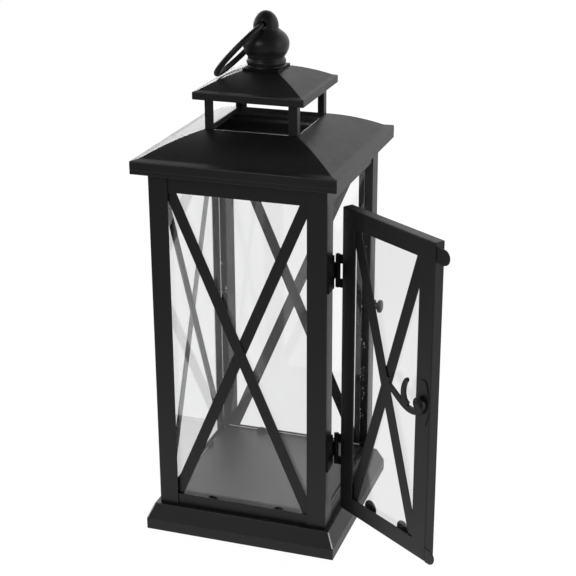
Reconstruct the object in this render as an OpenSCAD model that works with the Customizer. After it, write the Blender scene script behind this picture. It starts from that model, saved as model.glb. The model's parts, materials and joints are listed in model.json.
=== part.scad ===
// Hurricane candle lantern: square sheet-steel body with glazed sides crossed by flat bars,
// a hinged glazed door on the right side, a two-tier vented roof and a turned finial with a carry ring.
// The origin is the centre of the plinth's underside. +Z is up, the front faces -Y, the door opens on +X.

/* [Body] */
// Width of the body across the outer faces of the posts
body_w = 140; // [120:1:170]
// Height of the posts, from the plinth's deck to the underside of the roof
body_h = 279; // [220:1:330]
// Thickness of the sheet steel
sheet_t = 1; // [0.8:0.1:1.2]
// Width of each flange of the angle posts
post_w = 15.5; // [13:0.5:19]
// Visible height of the top rails
top_rail_h = 15; // [12:0.5:20]
// Height of the front bottom rail and the door sill
bottom_rail_h = 9.5; // [9:0.5:14]
// Height of the back and left bottom rails
back_rail_h = 7; // [6:0.5:14]
// Height of the raised floor above the plinth's deck
floor_h = 5; // [3:0.5:6]
// Height of the floor's raised middle above the ledge that the clips stand on
seat_step = 0.8; // [0.6:0.1:1.4]
// Width of the flat crossed bars
bar_w = 8.8; // [6:0.2:11]
// Distance that the ends of the crossed bars reach behind the posts
bar_tuck = 5; // [3:0.5:7]

/* [Plinth] */
// Width of the plinth at its skirt
plinth_w = 158; // [150:1:190]
// Width of the plinth's flat deck
deck_w = 147; // [142:1:149]
// Height of the upright skirt
skirt_h = 9; // [6:0.5:14]
// Height of the sloping bevel above the skirt
bevel_h = 12.5; // [8:0.5:18]

/* [Glazing] */
// Thickness of the glass panes
glass_t = 2; // [1.6:0.1:2.4]
// Distance that a pane reaches past the visible opening on each side
glass_rebate = 6; // [4:0.5:6.5]
// Width of a panel's glass clip
clip_w = 10; // [7:0.5:11]
// Distance between the two clips of a panel
clip_pitch = 56; // [40:1:64]
// Distance between the two clips of the door
door_clip_pitch = 38; // [26:1:42]
// Reach of a panel's clip over the pane
clip_h = 5.5; // [5.5:0.5:9]
// Width of a door clip
door_clip_w = 13; // [9:0.5:14]
// Reach of a door's bottom clip up its pane
door_clip_h = 18; // [14:0.5:24]
// Distance that the clips sit right of the middle of their panel, seen from outside
clip_shift = 1.5; // [0:0.5:4]

/* [Main roof] */
// Width of the main roof at its eave
roof_w = 160; // [154:1:186]
// Height of the upright band round the eave
roof_band_h = 10; // [6:0.2:14]
// Rise of the slopes above the band
roof_rise = 17; // [12:0.2:28]
// Width of the square vent at the top of the main roof
vent_w = 73; // [60:1:78]
// Depth of the lip turned down round the vent
vent_lip = 4; // [2:0.5:8]
// Width of the ledge under the roof that sits on the posts
soffit_w = 22; // [18:0.5:26]

/* [Upper roof] */
// Width of the upper roof at its eave
cap_w = 87; // [82:1:100]
// Height of the upright band round the upper eave
cap_band_h = 5.8; // [4:0.2:9]
// Rise of the upper slopes above the band
cap_rise = 11.7; // [9:0.1:13]
// Width of the flat square at the top of the upper roof
cap_top_w = 28.4; // [24:0.2:34]
// Height of the four legs between the roofs
leg_h = 23.6; // [16:0.2:34]
// Width of each flange of the angle legs
leg_w = 7; // [5:0.5:9]

/* [Finial and ring] */
// Thickness of the square plate under the finial
plate_t = 1.8; // [1:0.1:3]
// Radius of the finial's foot collar
collar_r = 14.7; // [12.5:0.1:15]
// Height of the finial's foot collar
collar_h = 6; // [4:0.5:7]
// Radius of the finial's ball
ball_r = 17.1; // [15:0.1:18]
// Height of the ball's middle above the finial's plate
ball_rise = 16.9; // [16:0.1:19]
// Radius of the finial's egg-shaped knob
knob_r = 9.4; // [8.5:0.1:10]
// Height of the knob's widest part above the ball's middle
knob_rise = 12.7; // [12:0.1:14]
// Height of the knob above its widest part
knob_h = 12; // [10:0.1:14]
// Height of the ring's hole above the knob's widest part
hole_rise = 2.4; // [1:0.1:3]
// Diameter of the finial's stud
stud_d = 4; // [3:0.5:5]
// Length of the stud below the top of the upper roof
stud_len = 7.6; // [6:0.2:9]
// Thickness of the washer under the upper roof
washer_t = 0.8; // [0.6:0.1:1.2]
// Outside diameter of the carry ring
ring_od = 60; // [58:0.5:64]
// Diameter of the ring's wire
wire_d = 4.4; // [3:0.1:4.6]
// Clearance round the wire in the finial's hole
ring_clearance = 0.35; // [0.3:0.05:0.8]

/* [Door] */
// Angle that the door stands open
door_open = 125; // [0:1:180]
// Width of the door frame's faces
stile_w = 15; // [12:0.5:18]
// Depth of the door frame
door_depth = 8.5; // [8:0.5:12]
// Gap above and below the door
door_gap = 2.5; // [1:0.25:3]
// Distance that the door's face stands out from the posts
door_proud = 2.5; // [2:0.1:3]
// Width of the door's crossed bars
door_bar_w = 9.4; // [6:0.2:11]
// Gap between the door's free edge and its post
latch_gap = 1.2; // [1:0.1:2]
// Reach of the upper stop lug past the door's free edge
stop_reach = 13; // [8:0.5:14]
// Reach of the lower tongue past the door's free edge
tongue_reach = 9.5; // [8:0.5:13]
// Height of the stop lug and the tongue
stop_h = 11.5; // [8:0.5:14]
// Clearance between the closed door's lugs and the post
stop_clearance = 0.4; // [0.3:0.1:1]

/* [Hinges] */
// Height of each butt hinge
hinge_h = 26; // [20:1:32]
// Distance between the middles of the two hinges
hinge_pitch = 148; // [110:1:180]
// Thickness of the hinge leaves
hinge_t = 1.4; // [1.2:0.1:1.6]
// Radius of the hinge knuckles
knuckle_r = 1.9; // [1.8:0.1:2.1]
// Diameter of the hinge pins
pin_d = 1.6; // [1.2:0.1:1.8]
// Running clearance round the hinge pins and the latch rivet
run_clearance = 0.05; // [0.03:0.01:0.08]
// Gap between the hinge barrel and the post
barrel_gap = 1.2; // [1:0.1:1.6]
// Gap between the hinge barrel and the closed door
door_slot = 2.2; // [2:0.1:2.6]

/* [Latch] */
// Height of the latch pivot above the middle of the door
latch_rise = 2.2; // [-10:0.2:20]
// Height of the oval latch plate
latch_plate_h = 37; // [30:1:42]
// Width of the oval latch plate
latch_plate_w = 14; // [12:0.2:14.6]
// Thickness of the oval latch plate
latch_plate_t = 0.8; // [0.6:0.1:1.2]
// Thickness of the forged latch lever
lever_t = 2.2; // [1.8:0.1:2.8]
// Reach of the lever from its rivet to its thumb knob
lever_len = 36; // [32:0.5:38]
// Radius of the lever's hub
hub_r = 5.4; // [4.5:0.1:5.6]
// Length of the lever's hub
hub_len = 3.6; // [3:0.2:6]
// Diameter of the latch rivet
rivet_d = 4; // [3:0.2:4.6]
// Radius of the keeper stud's stem
keeper_stem_r = 3; // [2.6:0.1:3.1]
// Radius of the keeper stud's round head
keeper_head_r = 5.4; // [4.8:0.1:5.8]

/* [Hidden] */
$fn = 48;
CUT = 1;

BLACK = "#202022";
SOOT = "#2c2c2e";
GREY = "#6a6a6a";
PANE = [0.85, 0.9, 0.9, 0.35];

// Levels and faces of the body
half = body_w / 2;
deck_z = skirt_h + bevel_h;
eave_z = deck_z + body_h;
open_half = half - post_w;
open_z0 = deck_z + bottom_rail_h;
open_z1 = eave_z - top_rail_h;
rail_face = half - sheet_t;
bar_face = rail_face - sheet_t;
glass_face = bar_face - 2 * sheet_t;
clip_face = glass_face - glass_t;
seat_gap = 0.3;
floor_half = glass_face - seat_gap;
floor_z = deck_z + floor_h;
ledge_z = floor_z - seat_step;
seat_half = clip_face - sheet_t - seat_gap;

// Levels of the two roofs
band_z = eave_z + roof_band_h;
vent_z = band_z + roof_rise;
cap_z = vent_z + leg_h;
cap_band_z = cap_z + cap_band_h;
cap_top_z = cap_band_z + cap_rise;
finial_z = cap_top_z + plate_t;

// Finial and ring
ball_z = finial_z + ball_rise;
knob_z = ball_z + knob_rise;
hole_z = knob_z + hole_rise;
ring_r = (ring_od - wire_d) / 2;
bore_half = knob_r;
wire_sag = ring_r - sqrt(ring_r * ring_r - bore_half * bore_half);
bore_r = wire_d / 2 + wire_sag / 2 + ring_clearance;
ring_drop = ring_r - wire_sag / 2;
roof_lip = 6;
roof_swell = 1.6;
cap_lip = 3;
cap_swell = 0.9;
cap_slope = atan2(cap_rise - cap_lip / 5, (cap_w - cap_top_w) / 2 - cap_lip);
slope_drop = (hole_z - cap_top_z) * cos(cap_slope) - cap_top_w / 2 * sin(cap_slope);
ring_lean = acos((slope_drop - cap_swell - seat_gap - wire_d / 2) / (ring_drop + ring_r)) - cap_slope;

// Door, drawn closed and then turned about the hinge axis
axis_x = half + hinge_t + knuckle_r - seat_gap;
axis_y = -open_half + barrel_gap + knuckle_r;
door_y0 = axis_y + knuckle_r + door_slot;
door_y1 = open_half - latch_gap;
door_z0 = open_z0 + door_gap;
door_z1 = open_z1 - door_gap;
door_mid_z = (door_z0 + door_z1) / 2;
door_face = half + door_proud;
door_back = door_face - door_depth;
door_bar_face = door_face - sheet_t;
door_glass_face = door_bar_face - 2 * sheet_t;
door_clip_face = door_glass_face - glass_t;
hinge_z = [door_mid_z + hinge_pitch / 2, door_mid_z - hinge_pitch / 2];
knuckle_h = 0.48 * hinge_h;

// Latch, on the middle of the free stile
latch_y = door_y1 - stile_w / 2;
latch_z = door_mid_z + latch_rise;
lever_x = door_face + latch_plate_t + seat_gap;
hub_end = lever_x + hub_len;
door_sweep = norm([axis_x - door_back, door_y1 - axis_y]);
keeper_y = axis_y + door_sweep + seat_gap + keeper_head_r;
keeper_z = latch_z + 1;

function lerp(a, b, t) = a + (b - a) * t;
function bezier(p, t) = pow(1 - t, 3) * p[0] + 3 * t * pow(1 - t, 2) * p[1]
    + 3 * t * t * (1 - t) * p[2] + pow(t, 3) * p[3];
function heading(p, t) = 3 * pow(1 - t, 2) * (p[1] - p[0]) + 6 * t * (1 - t) * (p[2] - p[1])
    + 3 * t * t * (p[3] - p[2]);
function normal(v) = [-v[1], v[0]] / norm(v);
function mirrored(side) = concat(side, [for (i = [len(side) - 1:-1:0]) [-side[i][0], side[i][1]]]);

// A square body whose four sides follow one profile of [half width, height] points, mitred at the corners
module square_form(side) {
    reach = 2 * max([for (p = side) p[0]]);
    intersection() {
        rotate([90, 0, 0]) linear_extrude(reach, center = true) polygon(mirrored(side));
        rotate([90, 0, 90]) linear_extrude(reach, center = true) polygon(mirrored(side));
    }
}

module square_block(w, z0, z1) {
    translate([-w / 2, -w / 2, z0]) cube([w, w, z1 - z0]);
}

module block(x0, x1, y0, y1, z0, z1) {
    translate([x0, y0, z0]) cube([x1 - x0, y1 - y0, z1 - z0]);
}

// Plinth: an upright skirt, a bevel and a flat deck, open underneath
module plinth() {
    bevel_lean = (plinth_w - deck_w) / 2 / bevel_h;
    color(BLACK) difference() {
        square_form([[plinth_w / 2, 0], [plinth_w / 2, skirt_h], [deck_w / 2, deck_z]]);
        square_form([
            [plinth_w / 2 - sheet_t, -CUT],
            [plinth_w / 2 - sheet_t, skirt_h],
            [deck_w / 2 + sheet_t * bevel_lean - sheet_t, deck_z - sheet_t]
        ]);
    }
}

// Floor with a raised middle for the candle, a ledge for the clips and its edges folded down to the deck
module floor_plate() {
    color(GREY) difference() {
        union() {
            square_block(2 * floor_half, deck_z, ledge_z);
            square_block(2 * seat_half, deck_z, floor_z);
        }
        square_block(2 * (floor_half - sheet_t), deck_z - CUT, ledge_z - sheet_t);
        square_block(2 * (seat_half - sheet_t), deck_z - CUT, floor_z - sheet_t);
    }
}

// Angle post with its outer corner at a corner of the body
module post(sx, sy) {
    color(BLACK) mirror([sx < 0 ? 1 : 0, 0, 0]) mirror([0, sy < 0 ? 1 : 0, 0]) union() {
        block(half - post_w, half, half - sheet_t, half, deck_z, eave_z);
        block(half - sheet_t, half, half - post_w, half, deck_z, eave_z);
    }
}

// Turns a panel that is drawn on the front (-Y) side: 0 front, 90 right, 180 back, 270 left
module on_side(turn) {
    rotate([0, 0, turn]) children();
}

// Rails on the front and back run into the corners, and the side rails butt against them
module rail(turn, z0, z1) {
    run = (turn % 180 == 0) ? rail_face : rail_face - sheet_t;
    color(BLACK) on_side(turn) block(-run, run, -rail_face, -rail_face + sheet_t, z0, z1);
}

// One flat bar of a crossed pair, trimmed to the panel that it crosses
module crossed_bar(bar, angle, trim_w, trim_h) {
    intersection() {
        rotate([0, angle, 0]) cube([bar, sheet_t, 2 * trim_h], center = true);
        cube([trim_w, sheet_t * 2, trim_h], center = true);
    }
}

// Crossed bars of a fixed panel: bar a lies on the rails and bar b lies on bar a
module panel_bar(turn, lean, layer) {
    angle = lean * atan2(2 * (open_half + bar_tuck), body_h);
    color(BLACK) on_side(turn)
        translate([0, -bar_face + sheet_t * (layer + 0.5), deck_z + body_h / 2])
            crossed_bar(bar_w, angle, 2 * (open_half + bar_tuck), body_h);
}

module pane(turn) {
    reach = open_half + glass_rebate;
    color(PANE) on_side(turn)
        block(-reach, reach, -glass_face, -clip_face, ledge_z + sheet_t, eave_z - sheet_t - seat_gap);
}

// Flat tab of width w and length h along +Y from y = 0, with a round end
module round_tab(w, h) {
    intersection() {
        translate([-w / 2, 0]) square([w, h]);
        union() {
            translate([-w / 2, 0]) square([w, h - w / 2]);
            translate([0, h - w / 2]) circle(w / 2);
        }
    }
}

// Tab that stands up from z = 0 and holds a pane, on a foot that reaches under the pane
module clip(w, h, foot) {
    rotate([90, 0, 0]) linear_extrude(sheet_t) round_tab(w, h);
    translate([-w / 2, -foot, 0]) cube([w, foot, sheet_t]);
}

// Four clips hold a pane: two stand on the floor and two hang from the roof's ledge
module panel_clips(turn) {
    foot = floor_half - clip_face + sheet_t;
    color(SOOT) on_side(turn) for (side = [-1, 1])
        translate([clip_shift + side * clip_pitch / 2, -clip_face + sheet_t, 0]) {
            translate([0, 0, ledge_z]) clip(clip_w, clip_h, foot);
            translate([0, 0, eave_z]) mirror([0, 0, 1]) clip(clip_w, clip_h, foot);
        }
}

// Side profile of a roof: an upright band, a flat flared lip and a slightly domed slope
function roof_side(w, top_w, z0, z1, z2, lip, swell) = concat(
    [[w / 2, z0], [w / 2, z1]],
    [for (i = [0:8]) [
        lerp(w / 2 - lip, top_w / 2, i / 8),
        lerp(z1 + lip / 5, z2, i / 8) + 4 * swell * i / 8 * (1 - i / 8)
    ]]
);

// Hollow roof of sheet steel with a ledge under it
module roof_shell(w, top_w, z0, z1, z2, lip, swell, ledge) {
    difference() {
        square_form(roof_side(w, top_w, z0, z1, z2, lip, swell));
        square_form(roof_side(w - 2 * sheet_t, top_w, z0 + sheet_t, z1 - sheet_t, z2 - sheet_t, lip, swell));
        square_block(w - 2 * ledge, z0 - CUT, z0 + 2 * sheet_t);
    }
}

// Main roof with a square vent, whose edge is turned down
module roof() {
    color(BLACK) difference() {
        union() {
            roof_shell(roof_w, vent_w, eave_z, band_z, vent_z, roof_lip, roof_swell, soffit_w);
            square_block(vent_w, vent_z - vent_lip, vent_z);
        }
        square_block(vent_w - 2 * sheet_t, vent_z - vent_lip - CUT, vent_z + CUT);
    }
}

// Angle leg that stands on the vent's edge and carries the upper roof
module leg(sx, sy) {
    edge = vent_w / 2;
    color(BLACK) mirror([sx < 0 ? 1 : 0, 0, 0]) mirror([0, sy < 0 ? 1 : 0, 0]) union() {
        block(edge - leg_w, edge, edge - sheet_t, edge, vent_z, cap_z);
        block(edge - sheet_t, edge, edge - leg_w, edge, vent_z, cap_z);
    }
}

module upper_roof() {
    color(BLACK) difference() {
        roof_shell(cap_w, cap_top_w, cap_z, cap_band_z, cap_top_z, cap_lip, cap_swell,
            (cap_w - vent_w) / 2 + leg_w);
        translate([0, 0, cap_top_z - 2 * sheet_t - CUT])
            cylinder(h = 3 * CUT + 2 * sheet_t, d = stud_d + 0.3);
    }
}

module finial_plate() {
    color(BLACK) difference() {
        square_block(cap_top_w, cap_top_z, finial_z);
        translate([0, 0, cap_top_z - CUT]) cylinder(h = plate_t + 2 * CUT, d = stud_d + 0.3);
    }
}

// Turned outline of the finial: foot collar, ball and egg-shaped knob
function finial_outline() = concat(
    [[0, finial_z], [collar_r - 0.7, finial_z]],
    [for (a = [-60:30:60])
        [collar_r - 0.9 + 0.9 * cos(a), finial_z + collar_h / 2 + 0.4 * collar_h * sin(a)]],
    [for (a = [-38:7.5:52]) [ball_r * cos(a), ball_z + (a < 0 ? ball_rise - 1.4 : knob_rise) * sin(a)]],
    [for (a = [0:9:90]) [knob_r * cos(a), knob_z + knob_h * sin(a)]]
);

// The finial's stud goes down through its plate and the upper roof
module finial() {
    color(BLACK) difference() {
        union() {
            rotate_extrude() polygon(finial_outline());
            translate([0, 0, cap_top_z - stud_len]) cylinder(h = stud_len + plate_t + CUT, d = stud_d);
        }
        translate([0, 0, hole_z]) rotate([90, 0, 0]) cylinder(h = 4 * knob_r, r = bore_r, center = true);
    }
}

module finial_washer() {
    color(GREY) translate([0, 0, cap_top_z - sheet_t - washer_t]) difference() {
        cylinder(h = washer_t, r = stud_d + 1);
        translate([0, 0, -CUT]) cylinder(h = washer_t + 2 * CUT, d = stud_d + 0.3);
    }
}

module finial_nut() {
    nut_h = 0.8 * stud_d;
    color(GREY) translate([0, 0, cap_top_z - sheet_t - washer_t - nut_h]) difference() {
        cylinder(h = nut_h, d = 2 * stud_d, $fn = 6);
        translate([0, 0, -CUT]) cylinder(h = nut_h + 2 * CUT, d = stud_d + 0.1);
    }
}

// Closed ring of round wire that runs through the finial's knob and leans to the left
module carry_ring() {
    color(BLACK) translate([0, 0, hole_z]) rotate([0, ring_lean, 0])
        translate([0, 0, -ring_drop]) rotate([0, 90, 0])
            rotate_extrude($fn = 96) translate([ring_r, 0]) circle(d = wire_d);
}

// Turns what is drawn on the closed door to where the door stands open
module door_place() {
    translate([axis_x, axis_y, 0]) rotate([0, 0, -door_open]) translate([-axis_x, -axis_y, 0]) children();
}

// Stretch of a hinge's barrel: the middle belongs to the post leaf and the two ends to the door leaf
module knuckle(z0, z1, bore_d) {
    translate([axis_x, axis_y, z0]) difference() {
        cylinder(h = z1 - z0, r = knuckle_r);
        translate([0, 0, -CUT]) cylinder(h = z1 - z0 + 2 * CUT, d = bore_d);
    }
}

// The post leaf stops short of the post's edge beside the two end knuckles, and light shows through there
module hinge_post_leaf(z) {
    reach = knuckle_h / 2 - seat_gap / 2;
    edge = -open_half - barrel_gap / 2;
    color(BLACK) union() {
        block(half, half + hinge_t, -half + 1, edge, z - hinge_h / 2, z + hinge_h / 2);
        block(half, half + hinge_t, -open_half - barrel_gap, axis_y + knuckle_r / 2, z - reach, z + reach);
        knuckle(z - reach, z + reach, pin_d + 0.04);
    }
}

// The door leaf lies on the hinge stile and turns in to the end knuckles
module hinge_door_leaf(z) {
    back = door_back + seat_gap;
    under = door_y0 - hinge_t;
    color(BLACK) door_place() union() {
        block(back, axis_x - knuckle_r - seat_gap, under, door_y0, z - hinge_h / 2, z + hinge_h / 2);
        for (low = [z + knuckle_h / 2, z - hinge_h / 2]) {
            top = low + (hinge_h - knuckle_h) / 2;
            difference() {
                union() {
                    block(back, axis_x, under, door_y0, low, top);
                    block(axis_x - hinge_t, axis_x, axis_y, door_y0, low, top);
                }
                translate([axis_x, axis_y, z - hinge_h])
                    cylinder(h = 2 * hinge_h, r = knuckle_r - hinge_t / 4);
            }
            knuckle(low, top, pin_d + 2 * run_clearance);
        }
    }
}

module hinge_pin(z) {
    color(GREY) translate([axis_x, axis_y, z - hinge_h / 2 - 0.6]) cylinder(h = hinge_h + 1.2, d = pin_d);
}

// Stile of the door frame: a face and a flange folded back along its outer edge
module stile(y0, y1, flange_y) {
    block(door_face - sheet_t, door_face, y0, y1, door_z0, door_z1);
    block(door_back, door_face, flange_y, flange_y + sheet_t, door_z0, door_z1);
}

module door_hinge_stile() {
    color(BLACK) door_place() stile(door_y0, door_y0 + stile_w, door_y0);
}

module door_free_stile() {
    color(BLACK) door_place() difference() {
        stile(door_y1 - stile_w, door_y1, door_y1 - sheet_t);
        translate([door_back - CUT, latch_y, latch_z]) rotate([0, 90, 0])
            cylinder(h = door_depth + 2 * CUT, d = rivet_d + 0.1);
    }
}

// Rail between the stiles, with its flange folded back along the door's edge
module door_rail(edge_z, inward) {
    z0 = min(edge_z, edge_z + inward * (stile_w - 1));
    flange_z = min(edge_z, edge_z + inward * sheet_t);
    color(BLACK) door_place() union() {
        block(door_face - sheet_t, door_face, door_y0 + stile_w, door_y1 - stile_w, z0, z0 + stile_w - 1);
        block(door_back, door_face, door_y0 + stile_w, door_y1 - stile_w, flange_z, flange_z + sheet_t);
        block(door_back, door_face - sheet_t, door_y0 + sheet_t, door_y1 - sheet_t,
            flange_z, flange_z + sheet_t);
    }
}

module door_bar(lean, layer) {
    glazed_w = door_y1 - door_y0 - 2 * stile_w;
    glazed_h = door_z1 - door_z0 - 2 * (stile_w - 1);
    angle = lean * atan2(glazed_w, glazed_h);
    color(BLACK) door_place()
        translate([door_bar_face - sheet_t * (layer + 0.5), (door_y0 + door_y1) / 2, door_mid_z])
            rotate([0, 0, 90])
                crossed_bar(door_bar_w, angle, glazed_w + 2 * bar_tuck, glazed_h + 2 * bar_tuck);
}

module door_glass() {
    inset = sheet_t + 1;
    color(PANE) door_place()
        block(door_clip_face, door_glass_face, door_y0 + inset, door_y1 - inset,
            door_z0 + inset, door_z1 - inset);
}

// Clips on the door's top and bottom flanges
module door_clips() {
    foot = door_bar_face - door_clip_face + sheet_t;
    mid_y = (door_y0 + door_y1) / 2 + clip_shift;
    color(SOOT) door_place() for (side = [-1, 1])
        translate([door_clip_face - sheet_t, mid_y + side * door_clip_pitch / 2, 0]) rotate([0, 0, 90]) {
            translate([0, 0, door_z0 + sheet_t]) clip(door_clip_w, door_clip_h, foot);
            translate([0, 0, door_z1 - sheet_t]) mirror([0, 0, 1])
                clip(door_clip_w, door_clip_w / 2 + 1, foot);
        }
}

// Flat tab that reaches past the door's free edge, with its lower edge at z0
module free_edge_tab(x0, z0, reach) {
    door_place() translate([x0, door_y1, z0 + stop_h / 2]) rotate([90, 0, 90]) linear_extrude(sheet_t)
        rotate([0, 0, -90]) round_tab(stop_h, reach);
}

module door_stop_lug() {
    color(BLACK) free_edge_tab(half + stop_clearance, door_z1 - 3 - stop_h, stop_reach);
}

module door_tongue() {
    color(BLACK) free_edge_tab(door_face - sheet_t, door_z0, tongue_reach);
}

module latch_place() {
    door_place() translate([0, latch_y, latch_z]) rotate([90, 0, 90]) children();
}

// Oval of two side arcs and two round ends that run into each other
module oval(w, h, end_r) {
    shoulder = w / 2 - end_r;
    end_y = h / 2 - end_r;
    reach = (end_y * end_y - shoulder * shoulder) / (2 * shoulder);
    side_r = reach + w / 2;
    joint_y = side_r * end_y / (side_r - end_r);
    intersection() {
        translate([-reach, 0]) circle(side_r, $fn = 180);
        translate([reach, 0]) circle(side_r, $fn = 180);
        square([w, 2 * joint_y], center = true);
    }
    for (side = [-1, 1]) translate([0, side * end_y]) circle(end_r);
}

module latch_plate() {
    color(BLACK) latch_place() translate([0, 0, door_face]) difference() {
        linear_extrude(latch_plate_t) oval(latch_plate_w, latch_plate_h, 0.3 * latch_plate_w);
        translate([0, 0, -CUT]) cylinder(h = 2 * CUT + latch_plate_t, d = rivet_d + 0.1);
    }
}

// The rivet is headed over behind the stile and in front of the lever's hub
module latch_rivet() {
    tail = door_face - sheet_t - 1;
    color(SOOT) latch_place() {
        translate([0, 0, tail]) cylinder(h = 1, d = rivet_d + 2);
        translate([0, 0, tail]) cylinder(h = hub_end + 1 - tail, d = rivet_d);
        translate([0, 0, hub_end + 0.1]) cylinder(h = 1.2, r1 = hub_r - 1.2, r2 = hub_r - 2.2);
    }
}

// Outline of a tapering limb along a curve, with a round end
function limb(path, r0, r1) = concat(
    [for (t = [0:1/12:1]) bezier(path, t) + lerp(r0, r1, t) * normal(heading(path, t))],
    [for (a = [75:-15:-75]) bezier(path, 1)
        + r1 * (sin(a) * normal(heading(path, 1)) + cos(a) * heading(path, 1) / norm(heading(path, 1)))],
    [for (t = [1:-1/12:0]) bezier(path, t) - lerp(r0, r1, t) * normal(heading(path, t))]
);

// Forged lever: an arm that curls under the hub, a hook that rises from it and a thumb knob at its end
module latch_lever() {
    k = lever_len / 36;
    arm = k * [[-1, -6.2], [-14, -12.5], [-21, -4.5], [-35.5, 3]];
    hook = k * [[-13, -6], [-20, -3.5], [-19.5, 7.5], [-15, 13.4]];
    color(BLACK) latch_place() translate([0, 0, lever_x]) difference() {
        union() {
            cylinder(h = hub_len, r = hub_r);
            linear_extrude(lever_t) union() {
                polygon(k * [[-4.4, -2], [4.4, -2], [2.6, -7], [-2.4, -8.6]]);
                polygon(limb(arm, 2.6 * k, 2 * k));
                polygon(limb(hook, 2.6 * k, 1.6 * k));
                translate(k * [-36, 6]) circle(3 * k);
            }
        }
        translate([0, 0, -CUT]) cylinder(h = hub_len + 2 * CUT, d = rivet_d + 2 * run_clearance);
    }
}

// Headed stud on the back right post, which the lever's hook drops over
module keeper_stud() {
    head_x = lever_x + lever_t + seat_gap;
    color(BLACK) translate([0, keeper_y, keeper_z]) rotate([0, 90, 0]) union() {
        translate([0, 0, half]) cylinder(h = lever_x - seat_gap - half, r = keeper_head_r - 0.2);
        translate([0, 0, half]) cylinder(h = head_x - half + 0.5, r = keeper_stem_r);
        translate([0, 0, head_x]) cylinder(h = 1.4, r = keeper_head_r);
        translate([0, 0, head_x + 1.4]) cylinder(h = 1, r1 = keeper_head_r, r2 = keeper_head_r - 1.6);
    }
}

plinth();
floor_plate();
post(-1, -1);  // post_front_left
post(1, -1);  // post_front_right
post(-1, 1);  // post_back_left
post(1, 1);  // post_back_right
rail(0, open_z1, eave_z);  // top_rail_front
rail(90, open_z1, eave_z);  // top_rail_right
rail(180, open_z1, eave_z);  // top_rail_back
rail(270, open_z1, eave_z);  // top_rail_left
rail(0, deck_z, open_z0);  // bottom_rail_front
rail(90, deck_z, open_z0);  // bottom_rail_right
rail(180, deck_z, deck_z + back_rail_h);  // bottom_rail_back
rail(270, deck_z, deck_z + back_rail_h);  // bottom_rail_left
panel_bar(0, -1, 0);  // bar_front_a
panel_bar(0, 1, 1);  // bar_front_b
panel_bar(180, -1, 0);  // bar_back_a
panel_bar(180, 1, 1);  // bar_back_b
panel_bar(270, -1, 0);  // bar_left_a
panel_bar(270, 1, 1);  // bar_left_b
pane(0);  // glass_front
pane(180);  // glass_back
pane(270);  // glass_left
panel_clips(0);  // clips_front
panel_clips(180);  // clips_back
panel_clips(270);  // clips_left
roof();
leg(-1, -1);  // leg_front_left
leg(1, -1);  // leg_front_right
leg(-1, 1);  // leg_back_left
leg(1, 1);  // leg_back_right
upper_roof();
finial_plate();
finial();
finial_washer();
finial_nut();
carry_ring();
hinge_post_leaf(hinge_z[0]);  // hinge_upper_post_leaf
hinge_post_leaf(hinge_z[1]);  // hinge_lower_post_leaf
hinge_door_leaf(hinge_z[0]);  // hinge_upper_door_leaf
hinge_door_leaf(hinge_z[1]);  // hinge_lower_door_leaf
hinge_pin(hinge_z[0]);  // hinge_upper_pin
hinge_pin(hinge_z[1]);  // hinge_lower_pin
door_hinge_stile();
door_free_stile();
door_rail(door_z1, -1);  // door_top_rail
door_rail(door_z0, 1);  // door_bottom_rail
door_bar(-1, 0);  // door_bar_a
door_bar(1, 1);  // door_bar_b
door_glass();
door_clips();
door_stop_lug();
door_tongue();
latch_plate();
latch_rivet();
latch_lever();
keeper_stud();
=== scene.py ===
"""Square candle lantern of black coated sheet steel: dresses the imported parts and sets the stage."""
import json
import math

import bmesh
import bpy
from bpy.props import FloatProperty, FloatVectorProperty, IntProperty, PointerProperty
from mathutils import Matrix, Vector


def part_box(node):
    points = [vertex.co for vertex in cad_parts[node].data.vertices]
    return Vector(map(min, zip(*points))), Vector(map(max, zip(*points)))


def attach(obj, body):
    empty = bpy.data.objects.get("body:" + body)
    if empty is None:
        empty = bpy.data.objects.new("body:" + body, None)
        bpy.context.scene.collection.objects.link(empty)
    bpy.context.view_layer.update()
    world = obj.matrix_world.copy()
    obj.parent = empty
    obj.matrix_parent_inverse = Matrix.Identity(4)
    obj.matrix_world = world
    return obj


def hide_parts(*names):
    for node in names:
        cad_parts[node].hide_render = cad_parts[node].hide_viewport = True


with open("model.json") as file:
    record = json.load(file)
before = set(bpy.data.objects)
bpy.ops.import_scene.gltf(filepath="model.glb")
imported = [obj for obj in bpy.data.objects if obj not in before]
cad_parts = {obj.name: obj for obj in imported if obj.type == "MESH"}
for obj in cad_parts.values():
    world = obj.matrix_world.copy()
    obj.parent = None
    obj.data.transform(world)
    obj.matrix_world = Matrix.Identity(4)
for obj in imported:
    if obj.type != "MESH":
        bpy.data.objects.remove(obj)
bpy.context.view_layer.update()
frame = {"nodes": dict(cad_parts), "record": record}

bl_info = {
    "name": "Candle Lantern",
    "version": (1, 0, 0),
    "blender": (4, 5, 0),
    "location": "3D View > Sidebar > Lantern",
    "description": "Dresses a glazed sheet-steel candle lantern and sets its stage",
    "category": "Object",
}

MM = 0.001
FLOOR_RISE = 0.8 * MM          # height of the floor plate's raised middle
BEHAVIOUR = frame["record"]["behaviour"]
BODY_OF = {node: body for body, nodes in BEHAVIOUR["bodies"].items() for node in nodes}
SLOT_OF = {part["node"]: part["material_slot"] for part in frame["record"]["subparts"]}
JOINT_AT = {joint["name"]: Vector(joint["pos_m"]) for joint in BEHAVIOUR["joints"]}


# ---------------------------------------------------------------- settings

def length(name, text, millimetres, least=0.0, most=1000.0):
    """Size in the settings, written in millimetres."""
    return FloatProperty(name=name, description=text, default=millimetres * MM, min=least * MM, max=most * MM,
                         subtype="DISTANCE", unit="LENGTH", precision=5)


def fraction(name, text, part, most=1.0):
    """Share in the settings."""
    return FloatProperty(name=name, description=text, default=part, min=0, max=most, subtype="FACTOR")


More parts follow.
